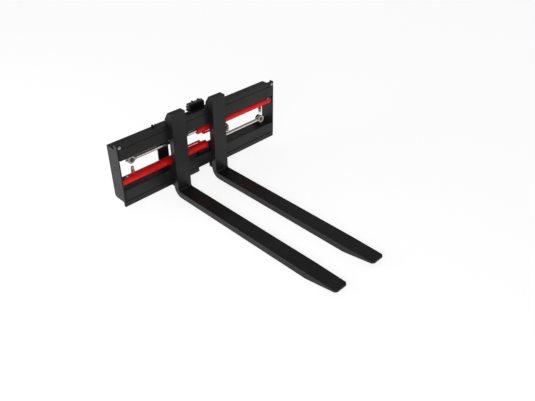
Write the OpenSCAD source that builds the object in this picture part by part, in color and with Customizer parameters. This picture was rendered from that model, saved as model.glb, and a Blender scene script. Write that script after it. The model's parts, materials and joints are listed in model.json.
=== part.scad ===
// Pallet fork attachment: a fork carriage with a hydraulic fork positioner.
// X runs along the carriage, +Y points back to the machine, Z is up.
// Everything is laid out in carriage coordinates (x = 0 at the middle, y = 0 on the
// front face of the rails, z = 0 at the underside of the tines) and then shifted as a
// whole, so that the origin is the centre of the coupler's locking pin bore.

/* [Carriage] */
// Overall width of the carriage
carriage_w = 1220; // [1180:5:1300]
// Height of the lower edge of the bottom rail above the ground
drop = 76; // [74:1:80]
// Height of the carriage over both rails
carriage_h = 407; // [405:1:410]
// Height of the window between the rails
window_h = 198.6; // [197:0.2:199]
// Height from the bottom of the bottom rail to the window
bottom_rail_h = 108.4; // [107:0.2:109]
// Thickness of the rails
rail_t = 16; // [15:0.5:16]
// Height of the lip that the fork hooks run on
lip_h = 30; // [28:1:31]
// Depth of the carriage over the rear channels
carriage_d = 104; // [98:1:110]
// Thickness of the end plates
end_plate_t = 8; // [6:1:9]
// Wall of the rear channels
channel_t = 8; // [5:1:9]

/* [Forks] */
// Width of one fork
fork_w = 100; // [90:5:105]
// Thickness of the fork's section
fork_t = 40; // [35:1:45]
// Length of the tine in front of the shank
tine_l = 1250; // [1000:10:1500]
// Height of the top of the fork hook above the ground
fork_top = 557; // [540:1:570]
// Thickness of the tine at its tip
tip_t = 11; // [8:1:16]
// Length of the tapered end of the tine
taper_l = 200; // [150:5:300]
// Width of the tine at its tip
tip_w = 92; // [80:1:98]
// Centre of the left fork
left_fork_x = -210; // [-214:1:-208]
// Centre of the right fork
right_fork_x = 96; // [94:1:100]

/* [Cylinders] */
// Outer diameter of a barrel
barrel_d = 50; // [48:0.5:51]
// Bore of a barrel
bore_d = 40; // [36:0.5:42]
// Diameter of a piston rod
rod_d = 22; // [18:0.5:23]
// Length of a barrel over its two ends
barrel_l = 631; // [600:1:633]
// Distance of a rod eye from the middle of the carriage
eye_x = 514; // [510:1:520]
// Height of a cylinder's axis above or below their common centre
axis_offset = 58.5; // [58:0.5:60.5]

/* [Coupler] */
// Distance between the middles of the coupler plates
coupler_w = 424; // [420:2:430]
// Thickness of a coupler plate
coupler_t = 20; // [16:1:24]
// Radius of the hook bar
hook_bar_r = 30; // [29:0.5:31]
// Length of the hook bar
hook_bar_l = 500; // [496:2:520]
// Radius of the journals at the ends of the hook bar
journal_r = 27.5; // [22:0.5:28]
// Length of each journal
journal_l = 24; // [15:1:24]
// Radius of the locking pin bore
pin_bore_r = 20.5; // [15.5:0.5:22.5]

/* [Hidden] */

$fn = 64;
eps = 0.5;

black = [0.13, 0.13, 0.14];
grey_black = [0.2, 0.2, 0.21];
red = [0.78, 0.06, 0.07];
silver = [0.78, 0.77, 0.74];
bronze = [0.62, 0.5, 0.28];
rubber = [0.05, 0.05, 0.05];

// Carriage heights
rail_bottom = drop;
rail_top = drop + carriage_h;
window_bottom = rail_bottom + bottom_rail_h;
window_top = window_bottom + window_h;
lip_setback = 2.5;
inner_half_w = carriage_w / 2 - end_plate_t;
notch_w = 110;
end_plate_front = 1.5;
end_plate_ear_d = 30;
rail_end_gap = 3;
rail_half_w = inner_half_w - rail_end_gap;
rail_groove_z = 110.5;
rail_groove_w = 5.5;
rail_groove_d = 4;
channel_foot_gap = 5;
stop_x = carriage_w / 2 - 18;
stop_z = rail_top - 16;
stop_bolt_r = 5;
stop_head_l = 6.5;
stop_flats = 16;
end_plate_chamfer = 12;

// The two cylinders turn into each other by half a turn about this height
cyl_mid_z = 290.5;
cyl_y = 32;
cyl_z = cyl_mid_z - axis_offset;
gland_end_x = 33;
cap_end_x = gland_end_x - barrel_l;
gland_l = 20;
gland_spigot_l = 12;
end_cap_l = 10;
cap_spigot_l = 14;
spigot_gap = 0.1;
barrel_x0 = cap_end_x + end_cap_l;
barrel_x1 = gland_end_x - gland_l;
barrel_r = barrel_d / 2;
bore_r = bore_d / 2;
rod_r = rod_d / 2;
run_gap = 0.05;
piston_x = -54;
piston_l = 30;
piston_spigot_r = 8;
groove_l = 8;
groove_depth = 4;
groove_x = piston_x + (piston_l - groove_l) / 2;
piston_seal_gap = 0.03;
eye_r = 24;
eye_t = 22;
eye_neck_l = 8;
eye_neck_r = 12.5;
rod_into_eye = 2;
bush_r = 14;
nipple_r = 4;
nipple_l = 5;
nipple_tip_r = 2.5;
nipple_tip_l = 11;
pin_r = 10;
seal_l = 5;
seal_lip = 1.5;
seal_r = 15;
lug_y0 = 45;
lug_t = 12;
lug_r = 22;
lug_foot_margin = 2;
lug_foot_d = 32;
lug_foot_t = 8;
pin_front = 18.8;
pin_head_r = 15;
pin_head_l = 6;
clip_front = 19.5;
clip_t = 1.4;
clip_r = 13.5;

// The top channel ends where the anchor lug of the upper cylinder meets it
flange_low_z = 2 * cyl_mid_z - window_bottom;

// Coupler
pin_y = 160;
pin_z = 118;
hook_bar_y = 180;
hook_bar_z = 333;
pin_bush_r = 30;
pin_bush_l = 34;
plate_foot_y = 130;
plate_foot_z = 84;
plate_foot_r = 36;
plate_low_z = 100;
plate_high_z = 425;
plate_rear_y = hook_bar_y + 42;
plate_bend_z = 236;
plate_rear_z = 300;
plate_shoulder_y = 142;
strap_w = 77;
strap_t = 8;
strap_back = carriage_d + strap_t;
clip_boss_x = -302;
clip_boss_y = 95;
clip_boss_r = 8;
clip_boss_h = 11;
clip_hole_r = 4;

// Fork
shank_gap = 1;
shank_back = -shank_gap;
shank_front = shank_back - fork_t;
heel_r = 65;
heel_fillet_r = 12;
tip_corner = 12;
hook_gap = 0.8;
hook_slot_y = rail_t + 1.2;
hook_back = 27;
hook_toe_z = 466;
hook_slope_h = 42;
hook_shoulder_z = fork_top - hook_slope_h;
bottom_hook_z = 60;
bottom_hook_toe_z = 97;

// Driver between a fork and the barrel that moves it
arm_z0 = 188;
arm_z1 = 201;
arm_y0 = rail_t + 1.2;
arm_y1 = 43;
pad_y1 = 17;
pad_z0 = 200;
pad_z1 = 236;
riser_top = 217;
saddle_x0 = -34;
saddle_x1 = 6;
saddle_y0 = 26;
saddle_y1 = 54;
saddle_top = 221;
pad_bolt_r = 6;
pad_bolt_z = 218;
pad_head_r = 9.5;
pad_head_l = 8;
pad_bolt_depth = 16;
socket_r = 5.8;
socket_depth = 4;
foot_bolt_x = [-25, -3];
foot_bolt_y = 46;
foot_bolt_r = 4;
foot_bolt_grip = 7;
foot_head_r = 6.5;
foot_head_l = 6;

// Where each driver meets its fork, counted from the middle towards the rod eye
left_pad = [160, 225];
left_riser = [120, 165];
left_pad_bolts = [178, 208];
right_pad = [66, 136];
right_riser = [66, 82];
right_pad_bolts = [86, 120];

// Pipes and ports
pipe_r = 6;
rear_pipe_y = 36;
front_pipe_y = 2 * cyl_y - rear_pipe_y;
pipe_z = cyl_z + 36.5;
pipe_bend_r = 8.5;
port_r = 4;
pipe_port_r = 3;
boss_r = 11;
boss_top = cyl_z + barrel_r + 17;
pipe_boss_top = cyl_z + barrel_r + 1;
gland_port_x = -12;
cap_port_x = -511;
bleed_x = -562;
lower_bleed_tilt = 25;
upper_bleed_tilt = 135;
drop_pipe_x = -200;
drop_pipe_y = 10;
drop_pipe_top = 287;
rear_pipe_x = -165;
rear_pipe_end = 56;

// Hose adapters and their dust caps
adapter_flats = 20;
adapter_hex_l = 7;
adapter_r = 7;
adapter_l = 12;
cap_r = 9.5;
cap_l = 16;
cap_rim = 2;
cap_taper = 1.5;

// Bleed screw: a stem from the barrel, an elbow along it and a cap on the elbow
bleed_reach = 33;
bleed_stem_r = 4;
bleed_elbow_x0 = -9;
bleed_elbow_r = 4.5;
bleed_elbow_l = 15;
bleed_cap_r = 7;
bleed_cap_l = 16;

// Manifold block on the top channel
block_x0 = -24;
block_x1 = 86;
block_y0 = 86;
block_y1 = 124;
block_h = 36;
bracket_t = 6;
bracket_margin = 8;
bracket_y0 = 60;
block_z0 = rail_top - lip_h + bracket_t;
block_mid_y = (block_y0 + block_y1) / 2;
manifold_bolt_r = 4;
manifold_bolt_flats = 13;
manifold_bolt_head_l = 6;
fitting_flats = 15;
fitting_hex_l = 4;
fitting_r = 6;
fitting_l = 8;
fitting_cap_r = 7;
fitting_cap_l = 8;
manifold_bolt_x = [28, 78];
manifold_top_x = [6, 53];
manifold_side_z = [9, 27];

// ---------- helpers ----------

// Moves a child from carriage coordinates to the origin at the locking pin bore
module placed() {
    translate([0, -pin_y, -pin_z]) children();
}

// Turns the lower cylinder's place into the upper cylinder's place
module as_upper() {
    translate([0, 0, 2 * cyl_mid_z]) rotate([0, 180, 0]) children();
}

// Box between two corners
module block(a, b) {
    translate(a) cube(b - a);
}

// Cylinder along X, Y or Z from its start point
module rod_x(p, r, l) {
    translate(p) rotate([0, 90, 0]) cylinder(r = r, h = l);
}

module rod_y(p, r, l) {
    translate(p) rotate([-90, 0, 0]) cylinder(r = r, h = l);
}

module rod_z(p, r, l) {
    translate(p) cylinder(r = r, h = l);
}

// Plate of thickness t, centred on x, whose outline lies in Y and Z
module yz_plate(x, t, outline) {
    translate([x - t / 2, 0, 0]) rotate([90, 0, 90]) linear_extrude(t) polygon(outline);
}

// Hexagon prism along Z
module hex_z(p, across_flats, l) {
    translate(p) cylinder(r = across_flats / sqrt(3), h = l, $fn = 6);
}

// Quarter of a pipe bend in the XY plane, from the +X side to the +Y side of its centre
module bend() {
    rotate_extrude(angle = 90) translate([pipe_bend_r, 0]) circle(pipe_r);
}

// ---------- carriage ----------

module top_rail() {
    lip_z = rail_top - lip_h;
    color(black) placed() difference() {
        union() {
            block([-rail_half_w, 0, window_top], [rail_half_w, rail_t, lip_z]);
            block([-rail_half_w, lip_setback, lip_z], [rail_half_w, rail_t, rail_top]);
        }
        for (s = [-1, 1])
            rod_y([s * stop_x, -eps, stop_z], stop_bolt_r, rail_t + 2 * eps);
    }
}

module bottom_rail() {
    lip_z = rail_bottom + lip_h;
    color(black) placed() difference() {
        union() {
            block([-rail_half_w, 0, lip_z], [rail_half_w, rail_t, window_bottom]);
            block([-carriage_w / 2, lip_setback, rail_bottom], [carriage_w / 2, rail_t, lip_z]);
        }
        block([-carriage_w / 2, -eps, rail_groove_z],
              [carriage_w / 2, rail_groove_d, rail_groove_z + rail_groove_w]);
        block([-notch_w / 2, -eps, rail_bottom - eps], [notch_w / 2, rail_t + eps, lip_z]);
    }
}

// Channel with its open side towards the rail
module channel(z0, z1) {
    difference() {
        block([-inner_half_w, rail_t, z0], [inner_half_w, carriage_d, z1]);
        block([-inner_half_w - eps, rail_t - eps, z0 + channel_t],
              [inner_half_w + eps, carriage_d - channel_t, z1 - channel_t]);
    }
}

// Top channel with a threaded boss for a hose clip
module top_channel() {
    z1 = rail_top - lip_h;
    color(black) placed() difference() {
        union() {
            channel(flange_low_z, z1);
            rod_z([clip_boss_x, clip_boss_y, z1 - channel_t], clip_boss_r, channel_t + clip_boss_h);
        }
        rod_z([clip_boss_x, clip_boss_y, z1], clip_hole_r, clip_boss_h + eps);
    }
}

module bottom_channel() {
    color(black) placed() channel(rail_bottom + lip_h + channel_foot_gap, window_bottom);
}

module end_plate(s) {
    z0 = rail_bottom + lip_h;
    z1 = rail_top - lip_h;
    c = end_plate_chamfer;
    color(grey_black) placed()
        yz_plate(s * (carriage_w - end_plate_t) / 2, end_plate_t,
                 [[end_plate_front, z0], [carriage_d - c, z0], [carriage_d, z0 + c],
                  [carriage_d, z1], [end_plate_ear_d, z1], [end_plate_ear_d, rail_top],
                  [end_plate_front, rail_top]]);
}

module left_end_plate() {
    end_plate(-1);
}

module right_end_plate() {
    end_plate(1);
}

// Bolts at the ends of the top lip, which stop the forks
module fork_stop_bolts() {
    color(silver) placed() for (s = [-1, 1]) {
        rod_y([s * stop_x, lip_setback, stop_z], stop_bolt_r, rail_t - lip_setback);
        translate([s * stop_x, lip_setback, stop_z]) rotate([90, 30, 0])
            cylinder(r = stop_flats / sqrt(3), h = stop_head_l, $fn = 6);
    }
}

// ---------- coupler ----------

// Straps from channel to channel, each reaching to the left of its coupler plate
module coupler_straps() {
    z0 = rail_bottom + lip_h + channel_foot_gap;
    color(black) placed() for (s = [-1, 1]) {
        x1 = s * coupler_w / 2 + coupler_t / 2;
        block([x1 - strap_w, carriage_d, z0], [x1, strap_back, rail_top - lip_h]);
    }
}

module coupler_plate(s) {
    color(black) placed() difference() {
        union() {
            yz_plate(s * coupler_w / 2, coupler_t,
                     [[strap_back, plate_low_z], [plate_foot_y, plate_foot_z],
                      [pin_y, plate_foot_z], [pin_y + plate_foot_r, pin_z],
                      [pin_y + plate_foot_r, plate_bend_z], [plate_rear_y, plate_rear_z],
                      [plate_rear_y, hook_bar_z], [plate_shoulder_y, hook_bar_z],
                      [strap_back, plate_high_z]]);
            rod_x([s * coupler_w / 2 - coupler_t / 2, pin_y, pin_z], plate_foot_r, coupler_t);
        }
        rod_x([s * coupler_w / 2 - coupler_t, pin_y, pin_z], pin_bush_r, 2 * coupler_t);
        rod_x([s * coupler_w / 2 - coupler_t, hook_bar_y, hook_bar_z], hook_bar_r, 2 * coupler_t);
    }
}

module left_coupler_plate() {
    coupler_plate(-1);
}

module right_coupler_plate() {
    coupler_plate(1);
}

module pin_bush(s) {
    x0 = s * coupler_w / 2 - pin_bush_l / 2;
    color(silver) placed() difference() {
        rod_x([x0, pin_y, pin_z], pin_bush_r, pin_bush_l);
        rod_x([x0 - eps, pin_y, pin_z], pin_bore_r, pin_bush_l + 2 * eps);
    }
}

module left_pin_bush() {
    pin_bush(-1);
}

module right_pin_bush() {
    pin_bush(1);
}

// Bar whose turned ends stand out past the plates, for the outer hooks
module hook_bar() {
    middle_l = hook_bar_l - 2 * journal_l;
    color(black) placed() union() {
        rod_x([-middle_l / 2, hook_bar_y, hook_bar_z], hook_bar_r, middle_l);
        rod_x([-hook_bar_l / 2, hook_bar_y, hook_bar_z], journal_r, hook_bar_l);
    }
}

// ---------- forks ----------

// One L-shaped fork about x, with the threaded holes for its driver
module fork(x, holes, hole_z) {
    tip_y = shank_front - tine_l;
    h = fork_w / 2;
    color(black) placed() difference() {
        union() {
            block([x - h, shank_front, 0], [x + h, shank_back, fork_top]);
            block([x - h, tip_y, 0], [x + h, shank_front, fork_t]);
            difference() {
                block([x - h, shank_front - heel_fillet_r, fork_t],
                      [x + h, shank_front, fork_t + heel_fillet_r]);
                rod_x([x - h - eps, shank_front - heel_fillet_r, fork_t + heel_fillet_r],
                      heel_fillet_r, fork_w + 2 * eps);
            }
        }
        // Rounded outside of the heel
        difference() {
            block([x - h - eps, shank_back - heel_r, -eps],
                  [x + h + eps, shank_back + eps, heel_r]);
            rod_x([x - h - 2 * eps, shank_back - heel_r, heel_r], heel_r, fork_w + 4 * eps);
        }
        // Underside that rises to the thin tip
        yz_plate(x, fork_w + 2 * eps,
                 [[tip_y + taper_l, 0], [tip_y, fork_t - tip_t],
                  [tip_y - eps, fork_t - tip_t], [tip_y - eps, -eps], [tip_y + taper_l, -eps]]);
        // Sides that narrow towards the tip, and its clipped corners
        for (s = [-1, 1])
            translate([x, tip_y, -eps]) linear_extrude(fork_t + 2 * eps)
                polygon([[s * h, taper_l], [s * tip_w / 2, tip_corner],
                         [s * (tip_w / 2 - tip_corner), 0], [s * (tip_w / 2 - tip_corner), -eps],
                         [s * (h + eps), -eps], [s * (h + eps), taper_l]]);
        for (hx = holes)
            rod_y([hx, shank_back - pad_bolt_depth, hole_z], pad_bolt_r, pad_bolt_depth + eps);
    }
}

// Hook over the top rail, rounded at its upper back corner
module top_hook(x) {
    color(black) placed()
        yz_plate(x, fork_w,
                 [[shank_back, rail_top + hook_gap], [hook_slot_y, rail_top + hook_gap],
                  [hook_slot_y, hook_toe_z], [hook_back, hook_toe_z],
                  [hook_back, hook_shoulder_z], [shank_back, fork_top]]);
}

module bottom_hook(x) {
    color(black) placed()
        yz_plate(x, fork_w,
                 [[shank_back, bottom_hook_z], [hook_back, bottom_hook_z],
                  [hook_back, bottom_hook_toe_z], [hook_slot_y, bottom_hook_toe_z],
                  [hook_slot_y, rail_bottom - hook_gap], [shank_back, rail_bottom - hook_gap]]);
}

module left_fork() {
    fork(left_fork_x, -left_pad_bolts, 2 * cyl_mid_z - pad_bolt_z);
}

module left_top_hook() {
    top_hook(left_fork_x);
}

module left_bottom_hook() {
    bottom_hook(left_fork_x);
}

module right_fork() {
    fork(right_fork_x, right_pad_bolts, pad_bolt_z);
}

module right_top_hook() {
    top_hook(right_fork_x);
}

module right_bottom_hook() {
    bottom_hook(right_fork_x);
}

// ---------- cylinder, drawn in the lower one's place ----------

module port_boss(x, y, top) {
    rod_z([x, y, cyl_z], boss_r, top - cyl_z);
}

module barrel(pipe_y) {
    color(red) difference() {
        union() {
            rod_x([barrel_x0, cyl_y, cyl_z], barrel_r, barrel_x1 - barrel_x0);
            port_boss(cap_port_x, cyl_y, boss_top);
            port_boss(gland_port_x, pipe_y, pipe_boss_top);
        }
        rod_x([barrel_x0 - eps, cyl_y, cyl_z], bore_r, barrel_x1 - barrel_x0 + 2 * eps);
        rod_z([cap_port_x, cyl_y, cyl_z], port_r, barrel_d);
        rod_z([gland_port_x, pipe_y, cyl_z], pipe_port_r, barrel_d);
    }
}

module end_cap() {
    color(red) union() {
        rod_x([cap_end_x, cyl_y, cyl_z], barrel_r, end_cap_l);
        rod_x([barrel_x0, cyl_y, cyl_z], bore_r - spigot_gap, cap_spigot_l);
    }
}

module gland() {
    spigot_x = barrel_x1 - gland_spigot_l;
    color(red) difference() {
        union() {
            rod_x([barrel_x1, cyl_y, cyl_z], barrel_r, gland_l);
            rod_x([spigot_x, cyl_y, cyl_z], bore_r - spigot_gap, gland_spigot_l);
        }
        rod_x([spigot_x - eps, cyl_y, cyl_z], rod_r + run_gap, gland_spigot_l + gland_l);
        rod_x([gland_end_x - seal_l, cyl_y, cyl_z], seal_r, seal_l + eps);
    }
}

module wiper_seal() {
    color(rubber) difference() {
        rod_x([gland_end_x - seal_l, cyl_y, cyl_z], seal_r, seal_l + seal_lip);
        rod_x([gland_end_x - seal_l - eps, cyl_y, cyl_z], rod_r + run_gap, seal_l + seal_lip + 2 * eps);
    }
}

module rod() {
    x0 = piston_x + piston_l;
    color(silver) union() {
        rod_x([x0, cyl_y, cyl_z], rod_r, eye_x - eye_r + rod_into_eye - x0);
        rod_x([piston_x, cyl_y, cyl_z], piston_spigot_r, piston_l);
    }
}

module piston() {
    color(silver) difference() {
        rod_x([piston_x, cyl_y, cyl_z], bore_r - run_gap, piston_l);
        rod_x([piston_x - eps, cyl_y, cyl_z], piston_spigot_r, piston_l + 2 * eps);
        difference() {
            rod_x([groove_x, cyl_y, cyl_z], bore_r + eps, groove_l);
            rod_x([groove_x - eps, cyl_y, cyl_z], bore_r - groove_depth, groove_l + 2 * eps);
        }
    }
}

module piston_seal() {
    color(rubber) difference() {
        rod_x([groove_x, cyl_y, cyl_z], bore_r - piston_seal_gap, groove_l);
        rod_x([groove_x - eps, cyl_y, cyl_z], bore_r - groove_depth, groove_l + 2 * eps);
    }
}

// Eye welded to the end of the rod, with a grease nipple at its outer end
module rod_eye() {
    neck_x = eye_x - eye_r - eye_neck_l;
    color(silver) difference() {
        union() {
            rod_y([eye_x, cyl_y - eye_t / 2, cyl_z], eye_r, eye_t);
            rod_x([neck_x, cyl_y, cyl_z], eye_neck_r, eye_r);
            rod_x([eye_x + bush_r, cyl_y, cyl_z], nipple_r, eye_r - bush_r + nipple_l);
            rod_x([eye_x + bush_r, cyl_y, cyl_z], nipple_tip_r, eye_r - bush_r + nipple_tip_l);
        }
        rod_y([eye_x, cyl_y - eye_t, cyl_z], bush_r, 2 * eye_t);
        rod_x([neck_x - eps, cyl_y, cyl_z], rod_r, eye_neck_l + rod_into_eye + eps);
    }
}

module eye_bush() {
    color(bronze) difference() {
        rod_y([eye_x, cyl_y - eye_t / 2, cyl_z], bush_r, eye_t);
        rod_y([eye_x, cyl_y - eye_t, cyl_z], pin_r, 2 * eye_t);
    }
}

module anchor_lug() {
    r = lug_r;
    color(black) difference() {
        union() {
            block([eye_x - r - lug_foot_margin, lug_y0, window_bottom],
                  [eye_x + r + lug_foot_margin, lug_y0 + lug_foot_d, window_bottom + lug_foot_t]);
            block([eye_x - r, lug_y0, window_bottom], [eye_x + r, lug_y0 + lug_t, cyl_z]);
            rod_y([eye_x, lug_y0, cyl_z], r, lug_t);
        }
        rod_y([eye_x, lug_y0 - eps, cyl_z], pin_r, lug_t + 2 * eps);
    }
}

module anchor_pin() {
    color(silver) union() {
        rod_y([eye_x, pin_front, cyl_z], pin_r, lug_y0 + lug_t - pin_front);
        rod_y([eye_x, lug_y0 + lug_t, cyl_z], pin_head_r, pin_head_l);
    }
}

module pin_clip() {
    color(rubber) difference() {
        rod_y([eye_x, clip_front, cyl_z], clip_r, clip_t);
        rod_y([eye_x, clip_front - eps, cyl_z], pin_r, clip_t + 2 * eps);
    }
}

// Saddle block welded under the barrel, which the driver is bolted to
module barrel_saddle() {
    color(red) difference() {
        block([saddle_x0, saddle_y0, arm_z1], [saddle_x1, saddle_y1, saddle_top]);
        rod_x([saddle_x0 - eps, cyl_y, cyl_z], barrel_r, saddle_x1 - saddle_x0 + 2 * eps);
        for (x = foot_bolt_x)
            rod_z([x, foot_bolt_y, arm_z1 - eps], foot_bolt_r, foot_bolt_grip + eps);
    }
}

// Driver arm: pad on the fork's back, riser through the window, arm along the barrel
module driver(pad, riser, bolts) {
    color(black) difference() {
        union() {
            block([pad[0], shank_back, pad_z0], [pad[1], pad_y1, pad_z1]);
            block([riser[0], shank_back, pad_z0], [riser[1], arm_y1, riser_top]);
            block([riser[0], shank_back, pad_z0], [pad[1], pad_y1, riser_top]);
            block([saddle_x0, arm_y0, arm_z0], [riser[1], arm_y1, arm_z1]);
            block([saddle_x0, arm_y0, arm_z0], [saddle_x1, saddle_y1, arm_z1]);
        }
        for (x = bolts) {
            rod_y([x, shank_back - eps, pad_bolt_z], pad_bolt_r, pad_y1 - shank_back);
            rod_y([x, pad_y1 - pad_head_l, pad_bolt_z], pad_head_r, pad_head_l + eps);
        }
        for (x = foot_bolt_x) {
            rod_z([x, foot_bolt_y, arm_z0 - eps], foot_bolt_r, arm_z1 - arm_z0 + 2 * eps);
            rod_z([x, foot_bolt_y, arm_z0 - eps], foot_head_r, foot_head_l + eps);
        }
    }
}

// Socket head bolts of the pad and of the saddle
module driver_bolts(bolts) {
    color(silver) union() {
        for (x = bolts) {
            rod_y([x, shank_back - pad_bolt_depth, pad_bolt_z], pad_bolt_r,
                  pad_bolt_depth + pad_y1 + shank_gap - pad_head_l);
            difference() {
                rod_y([x, pad_y1 - pad_head_l, pad_bolt_z], pad_head_r, pad_head_l);
                translate([x, pad_y1 - socket_depth, pad_bolt_z]) rotate([-90, 0, 0])
                    cylinder(r = socket_r, h = socket_depth + eps, $fn = 6);
            }
        }
        for (x = foot_bolt_x) {
            rod_z([x, foot_bolt_y, arm_z0], foot_head_r, foot_head_l);
            rod_z([x, foot_bolt_y, arm_z0 + foot_head_l], foot_bolt_r,
                  arm_z1 + foot_bolt_grip - arm_z0 - foot_head_l);
        }
    }
}

// Transfer pipe's straight run beside the barrel, from the gland port to x1
module pipe_run(x1, pipe_y) {
    z0 = pipe_z - pipe_bend_r;
    rod_z([gland_port_x, pipe_y, pipe_boss_top], pipe_r, z0 - pipe_boss_top);
    translate([gland_port_x - pipe_bend_r, pipe_y, z0]) rotate([90, 0, 0]) bend();
    rod_x([x1, pipe_y, pipe_z], pipe_r, gland_port_x - pipe_bend_r - x1);
}

// Pipe whose far end faces the rear
module rear_pipe() {
    x1 = rear_pipe_x + pipe_bend_r;
    y1 = rear_pipe_y + pipe_bend_r;
    color(red) union() {
        pipe_run(x1, rear_pipe_y);
        translate([x1, y1, pipe_z]) rotate([0, 0, 180]) bend();
        rod_y([rear_pipe_x, y1, pipe_z], pipe_r, rear_pipe_end - y1);
    }
}

// Pipe whose far end comes forward and turns away from the barrel
module drop_pipe() {
    x1 = drop_pipe_x + pipe_bend_r;
    y1 = front_pipe_y - pipe_bend_r;
    y2 = drop_pipe_y + pipe_bend_r;
    z1 = pipe_z + pipe_bend_r;
    color(red) union() {
        pipe_run(x1, front_pipe_y);
        translate([x1, y1, pipe_z]) rotate([0, 0, 90]) bend();
        rod_y([drop_pipe_x, y2, pipe_z], pipe_r, y1 - y2);
        translate([drop_pipe_x, y2, z1]) rotate([90, 0, 90]) rotate([0, 0, 180]) bend();
        rod_z([drop_pipe_x, drop_pipe_y, z1], pipe_r, drop_pipe_top - z1);
    }
}

// Hose adapter along Z with its hexagon at the bottom
module adapter() {
    hex_z([0, 0, 0], adapter_flats, adapter_hex_l);
    cylinder(r = adapter_r, h = adapter_l);
}

// Dust cap on an adapter
module dust_cap() {
    translate([0, 0, adapter_l]) union() {
        cylinder(r = cap_r, h = cap_l - cap_rim);
        cylinder(r = cap_r - cap_taper, h = cap_l);
    }
}

// Puts children on the port at the cap end, on the pipe's far end and on the bleed port
module at_cap_port() {
    translate([cap_port_x, cyl_y, boss_top]) children();
}

module at_rear_pipe() {
    translate([rear_pipe_x, rear_pipe_end, pipe_z]) rotate([-90, 0, 0]) children();
}

module at_drop_pipe() {
    translate([drop_pipe_x, drop_pipe_y, drop_pipe_top]) children();
}

module at_bleed(tilt) {
    translate([bleed_x, cyl_y, cyl_z]) rotate([tilt, 0, 0]) children();
}

// Bleed screw's elbow, which lies along the barrel
module bleed_elbow(tilt) {
    at_bleed(tilt) union() {
        difference() {
            cylinder(r = bleed_stem_r, h = bleed_reach);
            rod_x([-2 * bleed_stem_r, 0, 0], barrel_r, 4 * bleed_stem_r);
        }
        rod_x([bleed_elbow_x0, 0, bleed_reach], bleed_elbow_r, bleed_elbow_l);
    }
}

module bleed_cap(tilt) {
    at_bleed(tilt) rod_x([bleed_elbow_x0 - bleed_cap_l, 0, bleed_reach], bleed_cap_r, bleed_cap_l);
}

module upper_barrel() { placed() as_upper() barrel(front_pipe_y); }
module upper_end_cap() { placed() as_upper() end_cap(); }
module upper_gland() { placed() as_upper() gland(); }
module upper_wiper_seal() { placed() as_upper() wiper_seal(); }
module upper_rod() { placed() as_upper() rod(); }
module upper_piston() { placed() as_upper() piston(); }
module upper_piston_seal() { placed() as_upper() piston_seal(); }
module upper_rod_eye() { placed() as_upper() rod_eye(); }
module upper_eye_bush() { placed() as_upper() eye_bush(); }
module upper_anchor_lug() { placed() as_upper() anchor_lug(); }
module upper_anchor_pin() { placed() as_upper() anchor_pin(); }
module upper_pin_clip() { placed() as_upper() pin_clip(); }
module upper_transfer_pipe() { placed() as_upper() drop_pipe(); }
module upper_barrel_saddle() { placed() as_upper() barrel_saddle(); }
module left_fork_driver() { placed() as_upper() driver(left_pad, left_riser, left_pad_bolts); }
module left_driver_bolts() { placed() as_upper() driver_bolts(left_pad_bolts); }

module upper_port_adapters() {
    color(silver) placed() as_upper() {
        at_cap_port() adapter();
        at_drop_pipe() adapter();
        bleed_elbow(upper_bleed_tilt);
    }
}

module upper_port_caps() {
    color(rubber) placed() as_upper() {
        at_cap_port() dust_cap();
        at_drop_pipe() dust_cap();
        bleed_cap(upper_bleed_tilt);
    }
}

module lower_barrel() { placed() barrel(rear_pipe_y); }
module lower_end_cap() { placed() end_cap(); }
module lower_gland() { placed() gland(); }
module lower_wiper_seal() { placed() wiper_seal(); }
module lower_rod() { placed() rod(); }
module lower_piston() { placed() piston(); }
module lower_piston_seal() { placed() piston_seal(); }
module lower_rod_eye() { placed() rod_eye(); }
module lower_eye_bush() { placed() eye_bush(); }
module lower_anchor_lug() { placed() anchor_lug(); }
module lower_anchor_pin() { placed() anchor_pin(); }
module lower_pin_clip() { placed() pin_clip(); }
module lower_transfer_pipe() { placed() rear_pipe(); }
module lower_barrel_saddle() { placed() barrel_saddle(); }
module right_fork_driver() { placed() driver(right_pad, right_riser, right_pad_bolts); }
module right_driver_bolts() { placed() driver_bolts(right_pad_bolts); }

module lower_port_adapters() {
    color(silver) placed() {
        at_cap_port() adapter();
        at_rear_pipe() adapter();
        bleed_elbow(lower_bleed_tilt);
    }
}

module lower_port_caps() {
    color(rubber) placed() {
        at_cap_port() dust_cap();
        at_rear_pipe() dust_cap();
        bleed_cap(lower_bleed_tilt);
    }
}

// ---------- manifold ----------

module manifold_bracket() {
    color(black) placed()
        block([block_x0 - bracket_margin, bracket_y0, block_z0 - bracket_t],
              [block_x1 + bracket_margin, block_y1, block_z0]);
}

module manifold_block() {
    color(black) placed() difference() {
        block([block_x0, block_y0, block_z0], [block_x1, block_y1, block_z0 + block_h]);
        for (x = manifold_bolt_x)
            rod_z([x, block_mid_y, block_z0 - eps], manifold_bolt_r, block_h + 2 * eps);
    }
}

module manifold_bolts() {
    color(silver) placed() for (x = manifold_bolt_x) {
        rod_z([x, block_mid_y, block_z0], manifold_bolt_r, block_h);
        hex_z([x, block_mid_y, block_z0 + block_h], manifold_bolt_flats, manifold_bolt_head_l);
    }
}

// Puts children on the block's four ports: two on top and two on its left end
module at_manifold_ports() {
    for (x = manifold_top_x)
        translate([x, block_mid_y, block_z0 + block_h]) children();
    for (z = manifold_side_z)
        translate([block_x0, block_mid_y, block_z0 + z]) rotate([0, -90, 0]) children();
}

module manifold_adapters() {
    color(silver) placed() at_manifold_ports() {
        hex_z([0, 0, 0], fitting_flats, fitting_hex_l);
        cylinder(r = fitting_r, h = fitting_l);
    }
}

module manifold_caps() {
    color(rubber) placed() at_manifold_ports()
        translate([0, 0, fitting_l]) cylinder(r = fitting_cap_r, h = fitting_cap_l);
}

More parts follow.
